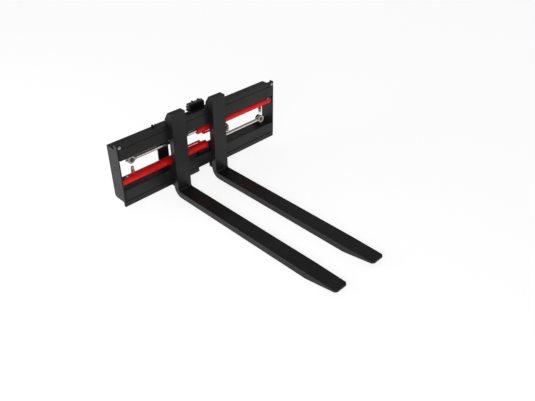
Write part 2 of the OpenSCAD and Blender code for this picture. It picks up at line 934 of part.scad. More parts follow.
top_rail();
bottom_rail();
top_channel();
bottom_channel();
left_end_plate();
right_end_plate();
coupler_straps();
left_coupler_plate();
right_coupler_plate();
left_pin_bush();
right_pin_bush();
hook_bar();
fork_stop_bolts();
left_fork();
left_top_hook();
left_bottom_hook();
right_fork();
right_top_hook();
right_bottom_hook();
upper_barrel();
upper_end_cap();
upper_gland();
upper_wiper_seal();
upper_rod();
upper_piston();
upper_piston_seal();
upper_rod_eye();
upper_eye_bush();
upper_anchor_lug();
upper_anchor_pin();
upper_pin_clip();
upper_transfer_pipe();
upper_port_adapters();
upper_port_caps();
upper_barrel_saddle();
left_fork_driver();
left_driver_bolts();
lower_barrel();
lower_end_cap();
lower_gland();
lower_wiper_seal();
lower_rod();
lower_piston();
lower_piston_seal();
lower_rod_eye();
lower_eye_bush();
lower_anchor_lug();
lower_anchor_pin();
lower_pin_clip();
lower_transfer_pipe();
lower_port_adapters();
lower_port_caps();
lower_barrel_saddle();
right_fork_driver();
right_driver_bolts();
manifold_bracket();
manifold_block();
manifold_bolts();
manifold_adapters();
manifold_caps();
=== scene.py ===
"""Looks of the pallet fork attachment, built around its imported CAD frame. Lengths are in metres."""

import json
import math
import random

import bmesh
import bpy
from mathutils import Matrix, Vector


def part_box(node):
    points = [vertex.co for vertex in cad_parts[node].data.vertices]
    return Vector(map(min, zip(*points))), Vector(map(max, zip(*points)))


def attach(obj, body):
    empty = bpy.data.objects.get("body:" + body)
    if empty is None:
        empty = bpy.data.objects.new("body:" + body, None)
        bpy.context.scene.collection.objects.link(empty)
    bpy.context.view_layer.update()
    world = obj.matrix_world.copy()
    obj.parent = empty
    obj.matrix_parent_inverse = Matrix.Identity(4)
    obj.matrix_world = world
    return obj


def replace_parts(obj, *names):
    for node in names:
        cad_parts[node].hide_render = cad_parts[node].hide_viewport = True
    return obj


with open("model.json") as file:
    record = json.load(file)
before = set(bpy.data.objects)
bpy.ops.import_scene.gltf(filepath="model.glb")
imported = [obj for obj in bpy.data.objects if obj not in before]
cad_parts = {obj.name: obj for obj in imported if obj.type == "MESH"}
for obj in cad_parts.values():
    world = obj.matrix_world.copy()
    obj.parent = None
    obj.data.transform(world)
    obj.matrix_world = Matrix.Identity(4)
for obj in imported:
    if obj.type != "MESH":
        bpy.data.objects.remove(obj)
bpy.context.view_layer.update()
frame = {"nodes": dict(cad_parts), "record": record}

MM = 0.001
TAU = 2 * math.pi
X = Vector((1, 0, 0))
Y = Vector((0, 1, 0))
Z = Vector((0, 0, 1))
random.seed(7)

CARRIAGE = "carriage"
LEFT_SET = "left_fork_set"
RIGHT_SET = "right_fork_set"
# Cylinder: its name, the body its barrel rides on, the way along X from its cap to its rod eye,
# and the way along Z that its pipe bosses face
CYLINDERS = [("lower", RIGHT_SET, 1, 1), ("upper", LEFT_SET, -1, -1)]


# ---------- places, read from the frame ----------

def centre(node):
    low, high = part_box(node)
    return (low + high) / 2


def half_height(node):
    """Radius of a round solid that lies along X."""
    low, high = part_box(node)
    return (high.z - low.z) / 2


def middle_x(box):
    return (box[0].x + box[1].x) / 2


def solids(node):
    """Box of each separate solid in a CAD node, from the lowest X and Z to the highest."""
    mesh = frame["nodes"][node].data
    keys = [tuple(round(c * 1e5) for c in v.co) for v in mesh.vertices]
    leader = {k: k for k in keys}

    def find(k):
        while leader[k] != k:
            leader[k] = leader[leader[k]]
            k = leader[k]
        return k

    for polygon in mesh.polygons:
        first = find(keys[polygon.vertices[0]])
        for i in polygon.vertices[1:]:
            leader[find(keys[i])] = first
    groups = {}
    for vertex, key in zip(mesh.vertices, keys):
        groups.setdefault(find(key), []).append(vertex.co)
    boxes = []
    for points in groups.values():
        low = Vector([min(p[i] for p in points) for i in range(3)])
        high = Vector([max(p[i] for p in points) for i in range(3)])
        boxes.append((low, high))
    return sorted(boxes, key=lambda b: (round(b[0].x, 3), round(b[0].z, 3)))


def base_and_length(box, direction):
    """Start point on the axis of a turned solid and its length, for the way that it points."""
    low, high = box
    middle = (low + high) / 2
    length = abs((high - low).dot(direction))
    return middle - direction * length / 2, length


FLOOR_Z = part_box("left_fork")[0].z


# ---------- materials ----------

# A noise scale is the number of patches in a metre
DUST = (0.09, 0.083, 0.074)
RUBBED_PAINT = (0.16, 0.155, 0.15)
RUBBED_ENAMEL = (0.22, 0.03, 0.03)
PAINT_SHEEN = 0.22


def new_material(name):
    material = bpy.data.materials.new(name)
    material.use_nodes = True
    nodes = material.node_tree.nodes
    return material, material.node_tree, nodes["Principled BSDF"]


def coordinates(tree, stretch=(1, 1, 1)):
    """Object coordinates, which are metres in the frame, scaled along each axis."""
    texture = tree.nodes.new("ShaderNodeTexCoord")
    mapping = tree.nodes.new("ShaderNodeMapping")
    mapping.inputs["Scale"].default_value = stretch
    tree.links.new(texture.outputs["Object"], mapping.inputs["Vector"])
    return mapping.outputs["Vector"]


def noise(tree, scale, detail=4.0, roughness=0.55, stretch=(1, 1, 1)):
    node = tree.nodes.new("ShaderNodeTexNoise")
    node.inputs["Scale"].default_value = scale
    node.inputs["Detail"].default_value = detail
    node.inputs["Roughness"].default_value = roughness
    tree.links.new(coordinates(tree, stretch), node.inputs["Vector"])
    return node.outputs["Fac"]


def remap(tree, value, low, high, to_low=0.0, to_high=1.0):
    node = tree.nodes.new("ShaderNodeMapRange")
    node.interpolation_type = "SMOOTHSTEP"
    node.inputs["From Min"].default_value = low
    node.inputs["From Max"].default_value = high
    node.inputs["To Min"].default_value = to_low
    node.inputs["To Max"].default_value = to_high
    tree.links.new(value, node.inputs["Value"])
    return node.outputs["Result"]


def times(tree, a, b):
    node = tree.nodes.new("ShaderNodeMath")
    node.operation = "MULTIPLY"
    tree.links.new(a, node.inputs[0])
    if isinstance(b, float):
        node.inputs[1].default_value = b
    else:
        tree.links.new(b, node.inputs[1])
    return node.outputs[0]


def mix_colour(tree, factor, a, b):
    node = tree.nodes.new("ShaderNodeMix")
    node.data_type = "RGBA"
    tree.links.new(factor, node.inputs["Factor"])
    for socket, colour in ((node.inputs[6], a), (node.inputs[7], b)):
        if isinstance(colour, tuple):
            socket.default_value = (*colour, 1)
        else:
            tree.links.new(colour, socket)
    return node.outputs[2]


def edge_mask(tree, radius):
    """1 near hard edges and 0 on flats: how far a rounded normal leans from the true one."""
    bevel = tree.nodes.new("ShaderNodeBevel")
    bevel.samples = 4
    bevel.inputs["Radius"].default_value = radius
    geometry = tree.nodes.new("ShaderNodeNewGeometry")
    dot = tree.nodes.new("ShaderNodeVectorMath")
    dot.operation = "DOT_PRODUCT"
    tree.links.new(bevel.outputs["Normal"], dot.inputs[0])
    tree.links.new(geometry.outputs["True Normal"], dot.inputs[1])
    return remap(tree, dot.outputs["Value"], 0.995, 0.9)


def upward_mask(tree):
    """1 on faces that look up, falling to 0 on steep ones."""
    geometry = tree.nodes.new("ShaderNodeNewGeometry")
    split = tree.nodes.new("ShaderNodeSeparateXYZ")
    tree.links.new(geometry.outputs["Normal"], split.inputs[0])
    return remap(tree, split.outputs["Z"], 0.6, 1.0)


def vary_roughness(tree, shader, value, lowest, spread):
    """Lets the roughness wander between its lowest value and that much more."""
    roughness = remap(tree, value, 0.3, 0.7, lowest, lowest + spread)
    tree.links.new(roughness, shader.inputs["Roughness"])


def bump(tree, shader, height, strength, distance):
    node = tree.nodes.new("ShaderNodeBump")
    node.inputs["Strength"].default_value = strength
    node.inputs["Distance"].default_value = distance
    tree.links.new(height, node.inputs["Height"])
    tree.links.new(node.outputs["Normal"], shader.inputs["Normal"])


def black_paint(name, dark, light, rough, wear, peel=0.25):
    """Powder coat: two close blacks, orange peel, dull patches, dust on top and rubbed edges."""
    material, tree, shader = new_material(name)
    patches = remap(tree, noise(tree, 4.0), 0.35, 0.68)
    colour = mix_colour(tree, patches, dark, light)
    grain = remap(tree, noise(tree, 900.0, detail=2.0), 0.55, 0.8, 0.0, 0.35)
    colour = mix_colour(tree, grain, colour, tuple(2.2 * c for c in light))
    dust = times(tree, upward_mask(tree), remap(tree, noise(tree, 11.0), 0.5, 0.75, 0.0, 0.12))
    colour = mix_colour(tree, dust, colour, DUST)
    chips = remap(tree, noise(tree, 70.0, detail=6.0, roughness=0.7), 0.62 - wear, 0.7 - wear)
    rubbed = times(tree, edge_mask(tree, 2.2 * MM), chips)
    colour = mix_colour(tree, rubbed, colour, RUBBED_PAINT)
    tree.links.new(colour, shader.inputs["Base Color"])
    vary_roughness(tree, shader, noise(tree, 9.0, detail=6.0), rough, 0.12)
    shader.inputs["Specular IOR Level"].default_value = PAINT_SHEEN
    bump(tree, shader, noise(tree, 320.0, detail=2.0), peel, 0.35 * MM)
    return material


def red_enamel():
    """Gloss red: slight runs in the colour, fine peel and a clear top layer."""
    material, tree, shader = new_material("red_enamel")
    shade = remap(tree, noise(tree, 14.0, detail=5.0), 0.35, 0.7)
    colour = mix_colour(tree, shade, (0.60, 0.003, 0.004), (0.72, 0.005, 0.006))
    chips = remap(tree, noise(tree, 110.0, detail=5.0, roughness=0.7), 0.64, 0.7)
    rubbed = times(tree, edge_mask(tree, 1.2 * MM), chips)
    colour = mix_colour(tree, rubbed, colour, RUBBED_ENAMEL)
    tree.links.new(colour, shader.inputs["Base Color"])
    vary_roughness(tree, shader, noise(tree, 22.0), 0.28, 0.14)
    shader.inputs["Specular IOR Level"].default_value = 0.2
    shader.inputs["Coat Weight"].default_value = 0.12
    shader.inputs["Coat Roughness"].default_value = 0.18
    bump(tree, shader, noise(tree, 420.0, detail=2.0), 0.2, 0.25 * MM)
    return material


def metal(name, dark, light, rough, lines=(1, 1, 1), line_scale=60.0, depth=0.12):
    """Bare or plated metal: stained in patches, with tool marks drawn out along the axes under 1."""
    material, tree, shader = new_material(name)
    stain = remap(tree, noise(tree, 35.0, detail=6.0), 0.35, 0.7)
    tree.links.new(mix_colour(tree, stain, dark, light), shader.inputs["Base Color"])
    shader.inputs["Metallic"].default_value = 1.0
    marks = noise(tree, line_scale, detail=3.0, roughness=0.6, stretch=lines)
    vary_roughness(tree, shader, marks, rough, 0.14)
    bump(tree, shader, marks, depth, 0.08 * MM)
    return material


def polymer(name, dark, light, rough, scale, depth):
    """Moulded plastic or rubber: matt, with a fine spark-eroded grain and a painted highlight along every
    edge.
    """
    material, tree, shader = new_material(name)
    tone = remap(tree, noise(tree, 60.0), 0.35, 0.7)
    colour = mix_colour(tree, tone, dark, light)
    # Painted highlight: every hard edge is lifted evenly towards a paler colour, as if it caught the light
    painted_edge_highlight = times(tree, edge_mask(tree, 0.8 * MM), 0.4)
    colour = mix_colour(tree, painted_edge_highlight, colour, tuple(3 * c for c in light))
    tree.links.new(colour, shader.inputs["Base Color"])
    vary_roughness(tree, shader, noise(tree, 90.0), rough, 0.15)
    bump(tree, shader, noise(tree, scale, detail=3.0), depth, 0.15 * MM)
    return material


MATERIALS = {
    "frame_black": black_paint(
        "frame_powder_coat", dark=(0.010, 0.010, 0.011), light=(0.016, 0.016, 0.017),
        rough=0.34, wear=0.0),
    "fork_black": black_paint(
        "fork_paint", dark=(0.010, 0.0095, 0.0095), light=(0.015, 0.0145, 0.0145),
        rough=0.30, wear=0.05, peel=0.4),
    "cylinder_red": red_enamel(),
    "rod_chrome": metal(
        "hard_chrome", dark=(0.66, 0.62, 0.58), light=(0.80, 0.77, 0.73),
        rough=0.16, lines=(1, 0.1, 0.1), line_scale=700.0, depth=0.03),
    "zinc_steel": metal(
        "zinc_plate", dark=(0.34, 0.32, 0.29), light=(0.50, 0.47, 0.43), rough=0.34),
    "spring_steel": metal(
        "phosphated_steel", dark=(0.07, 0.055, 0.045), light=(0.13, 0.105, 0.085), rough=0.42),
    "bronze": metal(
        "turned_bronze", dark=(0.46, 0.29, 0.12), light=(0.62, 0.42, 0.19),
        rough=0.30, lines=(0.1, 1, 0.1), line_scale=500.0),
    "rubber_black": polymer(
        "seal_rubber", dark=(0.012, 0.012, 0.012), light=(0.022, 0.022, 0.022),
        rough=0.60, scale=500.0, depth=0.3),
    "cap_plastic": polymer(
        "cap_plastic", dark=(0.010, 0.010, 0.010), light=(0.020, 0.021, 0.020),
        rough=0.45, scale=700.0, depth=0.3),
}


# ---------- finish of the CAD nodes that show as they are ----------

# Points this close are one corner, and faces that lean less than this from each other are one flat
JOIN_DISTANCE = 0.01 * MM
FLAT_ANGLE = math.radians(0.6)
# Edges sharper than this are rounded, by the node's own width or by the default
EDGE_ANGLE = math.radians(32)
EDGE_DEFAULT = 0.6 * MM
EDGES = {
    "left_fork": 3.0 * MM, "right_fork": 3.0 * MM,
    "left_top_hook": 2.0 * MM, "right_top_hook": 2.0 * MM,
    "left_bottom_hook": 2.0 * MM, "right_bottom_hook": 2.0 * MM,
    "top_rail": 1.6 * MM, "bottom_rail": 1.6 * MM, "top_channel": 1.5 * MM, "bottom_channel": 1.5 * MM,
    "left_end_plate": 1.2 * MM, "right_end_plate": 1.2 * MM,
    "coupler_straps": 1.2 * MM, "left_coupler_plate": 1.2 * MM, "right_coupler_plate": 1.2 * MM,
    "left_pin_bush": 1.2 * MM, "right_pin_bush": 1.2 * MM, "hook_bar": 2.0 * MM,
    "left_fork_driver": 1.0 * MM, "right_fork_driver": 1.0 * MM,
    "manifold_block": 1.0 * MM, "manifold_bracket": 1.0 * MM,
}


def round_edges(obj, width):
    """Joins the tessellation, rounds every hard edge and lets the flats keep their own normals."""
    join = obj.modifiers.new("join", "WELD")
    join.merge_threshold = JOIN_DISTANCE
    flats = obj.modifiers.new("flats", "DECIMATE")
    flats.decimate_type = "DISSOLVE"
    flats.angle_limit = FLAT_ANGLE
    bevel = obj.modifiers.new("edges", "BEVEL")
    bevel.width = width
    bevel.segments = 3
    bevel.limit_method = "ANGLE"
    bevel.angle_limit = EDGE_ANGLE
    bevel.miter_outer = "MITER_ARC"
    normals = obj.modifiers.new("normals", "WEIGHTED_NORMAL")
    normals.keep_sharp = True
    normals.weight = 100


def finish_cad_nodes():
    slots = {s["node"]: s["material_slot"] for s in frame["record"]["subparts"]}
    for name, obj in frame["nodes"].items():
        obj.data.materials.clear()
        obj.data.materials.append(MATERIALS[slots[name]])
        for polygon in obj.data.polygons:
            polygon.use_smooth = True
        round_edges(obj, EDGES.get(name, EDGE_DEFAULT))


# ---------- mesh helpers ----------

def basis(direction):
    """Two unit vectors that are square to the direction and to each other."""
    side = Z if abs(direction.dot(Z)) < 0.9 else X
    a = direction.cross(side).normalized()
    return a, direction.cross(a).normalized()


def ring(bm, middle, direction, radii):
    """Points round an axis, one at each of the radii."""
    a, b = basis(direction)
    count = len(radii)
    points = []
    for i, r in enumerate(radii):
        angle = TAU * i / count
        points.append(bm.verts.new(middle + a * r * math.cos(angle) + b * r * math.sin(angle)))
    return points


def bridge(bm, first, second):
    count = len(first)
    for i in range(count):
        j = (i + 1) % count
        bm.faces.new((first[i], first[j], second[j], second[i]))


def loft(bm, rings, closed_loop=False):
    """Skins rings in order, and closes the ends or joins the last to the first."""
    for first, second in zip(rings, rings[1:]):
        bridge(bm, first, second)
    if closed_loop:
        bridge(bm, rings[-1], rings[0])
    else:
        bm.faces.new(list(reversed(rings[0])))
        bm.faces.new(rings[-1])


def turned(bm, start, direction, profile, count=40):
    """Solid of revolution from (distance along the axis, radius) pairs."""
    rings = [ring(bm, start + direction * d, direction, [r] * count) for d, r in profile]
    loft(bm, rings)


def hexagon_radius(angle, flats):
    """Radius of a hexagon's outline, at an angle from the middle of a flat."""
    within = (angle + math.pi / 6) % (math.pi / 3) - math.pi / 6
    return flats / 2 / math.cos(within)


def hexagon(bm, start, direction, flats, height, both_ends=False, count=72):
    """Hexagon head or nut, its corners turned off by a 30 degree chamfer."""
    radii = [hexagon_radius(TAU * i / count, flats) for i in range(count)]
    round_r = 0.48 * flats
    slope = math.tan(math.radians(30))
    a, b = basis(direction)

    def cut(level, inward):
        points = []
        for i, r in enumerate(radii):
            angle = TAU * i / count
            drop = max(r - round_r, 0) * slope
            place = start + direction * (level + inward * drop)
            points.append(bm.verts.new(place + a * r * math.cos(angle) + b * r * math.sin(angle)))
        return points

    rings = [ring(bm, start, direction, [round_r if both_ends else r for r in radii])]
    if both_ends:
        rings.append(cut(0, 1))
    rings.append(cut(height, -1))
    rings.append(ring(bm, start + direction * height, direction, [round_r] * count))
    loft(bm, rings)


def ribbed(bm, start, direction, radius, height, ribs, depth):
    """Grip of a cap: a cylinder with ribs along it."""
    count = ribs * 6
    radii = [radius - depth * (0.5 - 0.5 * math.cos(TAU * ribs * i / count)) for i in range(count)]
    small = [r - 0.6 * depth for r in radii]
    edge = min(depth, height / 6)
    rings = [
        ring(bm, start, direction, small),
        ring(bm, start + direction * edge, direction, radii),
        ring(bm, start + direction * (height - edge), direction, radii),
        ring(bm, start + direction * height, direction, small),
    ]
    loft(bm, rings)


def new_piece(name, bm, body, slot, smooth_angle=35):
    """Turns a mesh into a piece on a body, with its slot's material and smooth rounds."""
    bmesh.ops.recalc_face_normals(bm, faces=bm.faces)
    mesh = bpy.data.meshes.new(name)
    bm.to_mesh(mesh)
    bm.free()
    piece = bpy.data.objects.new(name, mesh)
    bpy.context.scene.collection.objects.link(piece)
    mesh.materials.append(MATERIALS[slot])
    mesh.shade_smooth()
    mesh.set_sharp_from_angle(angle=math.radians(smooth_angle))
    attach(piece, body)
    return piece


# ---------- welds ----------

RIPPLE = 4.5 * MM
RINGS_PER_RIPPLE = 3
# A ripple swells by this share of the bead's radius, and each ring strays by up to the other
RIPPLE_SWELL = 0.16
UNEVENNESS = 0.03
# Share of the radius that is left at the ends of an open bead
END_TAPER = 0.55
BEAD_SMOOTH_ANGLE = 60
# Radius of each kind of bead
CARRIAGE_BEAD = 3.5 * MM
PLATE_BEAD = 1.3 * CARRIAGE_BEAD
BRACKET_BEAD = 0.9 * CARRIAGE_BEAD
LUG_BEAD = 0.8 * CARRIAGE_BEAD
HOOK_BEAD = 2.6 * MM
CAP_BEAD = 2.2 * MM
BOSS_BEAD = 1.6 * MM
EYE_BEAD = 1.5 * MM


def weld_path(points):
    """Points along a line, with a few to each weld ripple."""
    path = []
    for a, b in zip(points, points[1:]):
        length = (b - a).length
        steps = max(2, round(length / RIPPLE * RINGS_PER_RIPPLE))
        path += [a.lerp(b, i / steps) for i in range(steps)]
    return path + [points[-1]]


def weld(bm, points, radius, closed=False, count=8):
    """Weld bead along points: it swells with each ripple, a little unevenly."""
    path = weld_path(points)
    if closed:
        path.pop()
    total = len(path)
    rings = []
    side = None
    for i, point in enumerate(path):
        before = path[i - 1] if closed or i else point
        after = path[(i + 1) % total] if closed or i + 1 < total else point
        tangent = (after - before).normalized()
        side = basis(tangent)[0] if side is None else (side - tangent * side.dot(tangent)).normalized()
        other = tangent.cross(side)
        phase = (i % RINGS_PER_RIPPLE) / RINGS_PER_RIPPLE
        stray = random.uniform(-UNEVENNESS, UNEVENNESS)
        swell = radius * (0.9 + RIPPLE_SWELL * math.sin(math.pi * phase) + stray)
        if not closed and i in (0, total - 1):
            swell *= END_TAPER
        rings.append([bm.verts.new(point + swell * (side * math.cos(TAU * k / count)
                                                    + other * math.sin(TAU * k / count)))
                      for k in range(count)])
    loft(bm, rings, closed_loop=closed)


def seam(bm, start, end, radius):
    """Straight weld bead."""
    weld(bm, [Vector(start), Vector(end)], radius)


def circle(middle, direction, radius, steps=48):
    a, b = basis(direction)
    points = [middle + radius * (a * math.cos(TAU * i / steps) + b * math.sin(TAU * i / steps))
              for i in range(steps)]
    return points + [points[0]]


def coupler_plate_welds(bm, side):
    """Seams of one coupler plate: to the channels, round the lower half of the bar, round its bush."""
    low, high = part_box(side + "_coupler_plate")
    foot_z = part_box("bottom_channel")[0].z
    top_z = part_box("top_channel")[1].z
    bar = centre("hook_bar")
    bush = centre(side + "_pin_bush")
    size = CARRIAGE_BEAD
    for x in (low.x, high.x):
        seam(bm, (x, low.y, foot_z + 2 * size), (x, low.y, top_z - 12 * size), PLATE_BEAD)
        bar_circle = circle(Vector((x, bar.y, bar.z)), X, half_height("hook_bar"))
        weld(bm, [p for p in bar_circle[:-1] if p.z < bar.z - size], size)
        bush_circle = circle(Vector((x, bush.y, bush.z)), X, half_height(side + "_pin_bush"))
        weld(bm, bush_circle, size, closed=True)


def carriage_welds():
    """Seams of the channels, straps, coupler plates, manifold bracket and anchor lugs."""
    bm = bmesh.new()
    size = CARRIAGE_BEAD
    rail_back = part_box("top_rail")[1].y
    top_low, top_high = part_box("top_channel")
    foot_low, foot_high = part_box("bottom_channel")
    for x in (top_low.x, top_high.x):
        for z in (top_low.z, foot_high.z):
            seam(bm, (x, rail_back + size, z), (x, top_high.y - size, z), size)
    seam(bm, (foot_low.x + size, rail_back, foot_low.z), (foot_high.x - size, rail_back, foot_low.z), size)
    for low, high in solids("coupler_straps"):
        for x in (low.x, high.x):
            for z0, z1 in ((top_low.z, top_high.z), (foot_low.z, foot_high.z)):
                seam(bm, (x, low.y, z0 + size), (x, low.y, z1 - size), size)
    for side in ("left", "right"):
        coupler_plate_welds(bm, side)
    low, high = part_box("manifold_bracket")
    seam(bm, (low.x, low.y, low.z), (high.x, low.y, low.z), BRACKET_BEAD)
    for x in (low.x, high.x):
        seam(bm, (x, low.y, low.z), (x, top_high.y - size, low.z), BRACKET_BEAD)
    for side in ("upper", "lower"):
        low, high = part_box(side + "_anchor_lug")
        seat = high.z if side == "upper" else low.z
        outline = [(low.x, low.y), (high.x, low.y), (high.x, high.y), (low.x, high.y), (low.x, low.y)]
        weld(bm, [Vector((x, y, seat)) for x, y in outline], LUG_BEAD, closed=True)
    new_piece("carriage_welds", bm, CARRIAGE, "frame_black", BEAD_SMOOTH_ANGLE)


def fork_welds(side, body):
    """Seams that hold the two hooks on the back of the shank."""
    bm = bmesh.new()
    size = HOOK_BEAD
    bury = 0.9 * MM
    toe_drop = 18 * MM
    root_h = 14 * MM
    low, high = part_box(side + "_top_hook")
    foot_low, foot_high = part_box(side + "_bottom_hook")
    for x, inward in ((low.x, 1), (high.x, -1)):
        place = x + inward * bury
        seam(bm, (place, low.y, low.z + toe_drop + size), (place, low.y, high.z - size), size)
        seam(bm, (place, foot_low.y, foot_low.z + size), (place, foot_low.y, foot_low.z + root_h), size)
    seam(bm, (low.x + size, low.y, high.z - bury), (high.x - size, low.y, high.z - bury), size)
    seam(bm, (foot_low.x + size, foot_low.y, foot_low.z),
         (foot_high.x - size, foot_low.y, foot_low.z), size)
    new_piece(side + "_hook_welds", bm, body, "fork_black", BEAD_SMOOTH_ANGLE)


# ---------- cylinders ----------

PIPE_R = 6 * MM
BOSS_R = 11 * MM
TUBE_NUT = 19 * MM
TUBE_NUT_L = 9 * MM
PORT_HEX = 20 * MM
PORT_THREAD_R = 7 * MM
THREAD_PITCH = 1.5 * MM
SEAL_WASHER = 1.2 * MM
# Ways that the hose ports face, in the order of their solids; None is the bleed screw
PORT_WAYS = {"lower": (None, Z, Y), "upper": (-Z, -Z, None)}
# Bleed screw: a stem on a round foot, then a hexagon and a threaded neck along the barrel, in a
# cap. The foot sinks into the barrel, and the neck into the cap, by BLEED_SINK
BLEED_SINK = 1 * MM
BLEED_FOOT_R = 5 * MM
BLEED_STEM_R = 3.6 * MM
BLEED_STEM_OFFSET = 9 * MM
BLEED_HEX = 8.6 * MM
BLEED_HEX_L = 12 * MM
BLEED_HEX_OFFSET = 3 * MM
BLEED_NECK_R = 3.8 * MM
BLEED_NECK_L = 4 * MM
BLEED_PITCH = 1 * MM
BLEED_CAP_R = 7 * MM
BLEED_CAP_RIM = 2.4 * MM


def cylinder_axis(name):
    """Middle of a cylinder's round end cap, which lies on its axis."""
    return centre(name + "_end_cap")


def barrel_radius(name):
    return half_height(name + "_end_cap")


def hose_ports(name):
    """Box and way of each hose adapter of a cylinder, without its bleed screw."""
    ports = zip(solids(name + "_port_adapters"), PORT_WAYS[name])
    return [(box, way) for box, way in ports if way is not None]


def saddle(axis, boss_x, offset_y, radius, barrel_r, up, steps=40):
    """Line where an upright round boss meets a round barrel that lies along X."""
    points = []
    for i in range(steps):
        angle = TAU * i / steps
        across = offset_y + radius * math.sin(angle)
        rise = up * math.sqrt(barrel_r ** 2 - across ** 2)
        points.append(Vector((boss_x + radius * math.cos(angle), axis.y + across, axis.z + rise)))
    return points + [points[0]]


def pipe_start(name, up):
    """Where the transfer pipe leaves its boss near the gland."""
    low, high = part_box(name + "_transfer_pipe")
    if up > 0:
        return Vector((high.x - PIPE_R, low.y + PIPE_R, low.z))
    return Vector((low.x + PIPE_R, high.y - PIPE_R, high.z))


def barrel_welds(name, body, way, up):
    """Seams round the end cap and the two bosses."""
    bm = bmesh.new()
    axis = cylinder_axis(name)
    radius = barrel_radius(name)
    barrel_low, barrel_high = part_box(name + "_barrel")
    seam_x = barrel_low.x if way > 0 else barrel_high.x
    cap_circle = circle(Vector((seam_x, axis.y, axis.z)), X, radius - 0.6 * MM, steps=96)
    weld(bm, cap_circle, CAP_BEAD, closed=True)
    port_x = min((middle_x(box) for box, _ in hose_ports(name)), key=lambda x: abs(x - axis.x))
    start = pipe_start(name, up)
    for x, offset in ((port_x, 0.0), (start.x, start.y - axis.y)):
        weld(bm, saddle(axis, x, offset, BOSS_R, radius, up), BOSS_BEAD, closed=True)
    new_piece(name + "_barrel_welds", bm, body, "cylinder_red", BEAD_SMOOTH_ANGLE)


def eye_weld(name, way):
    """Seam round the rod, at the neck of its eye."""
    bm = bmesh.new()
    eye = centre(name + "_eye_bush")
    neck_low, neck_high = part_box(name + "_rod_eye")
    neck_x = neck_low.x if way > 0 else neck_high.x
    neck_circle = circle(Vector((neck_x, eye.y, eye.z)), X, half_height(name + "_rod"), steps=64)
    weld(bm, neck_circle, EYE_BEAD, closed=True)
    new_piece(name + "_eye_weld", bm, CARRIAGE, "zinc_steel", BEAD_SMOOTH_ANGLE)


def tube_nut(name, body, up):
    """Union nut at the foot of the hose adapter that is nearest to the transfer pipe's start."""
    bm = bmesh.new()
    start = pipe_start(name, up)
    box, way = min(hose_ports(name), key=lambda port: abs(middle_x(port[0]) - start.x))
    base = base_and_length(box, way)[0]
    hexagon(bm, base - way * TUBE_NUT_L, way, TUBE_NUT, TUBE_NUT_L, both_ends=True)
    turned(bm, base - way * TUBE_NUT_L, -way,
           [(0, PIPE_R + 2.2 * MM), (1.4 * MM, PIPE_R + 1.4 * MM), (2.4 * MM, PIPE_R + 0.2 * MM)])
    new_piece(name + "_tube_nut", bm, body, "zinc_steel")


def threaded_neck(bm, start, way, radius, length, pitch):
    """Male thread drawn as close rings."""
    turns = max(1, round(length / pitch))
    step = length / turns
    profile = [(0, radius - 0.3 * step)]
    for i in range(turns):
        profile += [((i + 0.25) * step, radius), ((i + 0.45) * step, radius),
                    ((i + 0.9) * step, radius - 0.5 * step)]
    turned(bm, start, way, profile)


def hose_adapter(bm, box, way, flats, hex_share, radius):
    """Hose adapter: a seal washer, a hexagon and a threaded neck."""
    base, length = base_and_length(box, way)
    hex_l = hex_share * length
    turned(bm, base, way, [(0, 0.54 * flats), (0.3 * MM, 0.56 * flats), (SEAL_WASHER, 0.56 * flats)])
    hexagon(bm, base + way * SEAL_WASHER, way, flats, hex_l - SEAL_WASHER)
    threaded_neck(bm, base + way * hex_l, way, radius, length - hex_l, THREAD_PITCH)


def dust_cap(bm, box, way, ribs):
    """Dust cap: a rim at its mouth, a ribbed grip and a dished top."""
    base, length = base_and_length(box, way)
    low, high = box
    across = [abs(v) for v in (high - low) if abs(abs(v) - length) > 1e-6]
    radius = min(across or [length]) / 2
    rim = 0.18 * length
    grip = 0.66 * length
    turned(bm, base, way,
           [(0, 0.96 * radius), (0.3 * rim, radius), (0.8 * rim, radius), (rim, 0.93 * radius)])
    ribbed(bm, base + way * rim, way, 0.97 * radius, grip, ribs, 0.07 * radius)
    turned(bm, base + way * (rim + grip), way,
           [(0, 0.86 * radius), (0.08 * length, 0.82 * radius), (0.16 * length, 0.70 * radius),
            (0.15 * length, 0.45 * radius), (0.11 * length, 0.40 * radius)])


def bleed_screw(bm_metal, bm_cap, name, elbow, cap):
    """Bleed screw: a stem out of the barrel, a hexagon and a neck along it, and a cap."""
    axis = cylinder_axis(name)
    barrel_r = barrel_radius(name)
    middle = (cap[0] + cap[1]) / 2
    out = Vector((0, middle.y - axis.y, middle.z - axis.z))
    reach = out.length
    out.normalize()
    toward = X if middle.x < middle_x(elbow) else -X
    cap_l = cap[1].x - cap[0].x
    mouth = middle + toward * cap_l / 2
    stem = Vector((mouth.x, axis.y, axis.z)) + toward * BLEED_STEM_OFFSET
    turned(bm_metal, stem + out * (barrel_r - BLEED_SINK), out,
           [(0, BLEED_FOOT_R), (1.5 * MM, BLEED_FOOT_R), (2 * MM, BLEED_STEM_R),
            (reach - barrel_r, BLEED_STEM_R)])
    hexagon(bm_metal, mouth + toward * BLEED_HEX_OFFSET, toward, BLEED_HEX, BLEED_HEX_L, both_ends=True)
    threaded_neck(bm_metal, mouth - toward * BLEED_SINK, toward, BLEED_NECK_R, BLEED_NECK_L, BLEED_PITCH)
    turned(bm_cap, mouth, -toward,
           [(0, 0.9 * BLEED_CAP_R), (0.6 * MM, BLEED_CAP_R), (2 * MM, BLEED_CAP_R),
            (BLEED_CAP_RIM, 0.92 * BLEED_CAP_R)])
    ribbed(bm_cap, mouth - toward * BLEED_CAP_RIM, -toward, 0.96 * BLEED_CAP_R,
           cap_l - 3.4 * MM, 12, 0.08 * BLEED_CAP_R)
    turned(bm_cap, mouth - toward * (cap_l - 1.2 * MM), -toward,
           [(0, 0.82 * BLEED_CAP_R), (0.8 * MM, 0.70 * BLEED_CAP_R), (1.1 * MM, 0.45 * BLEED_CAP_R)])


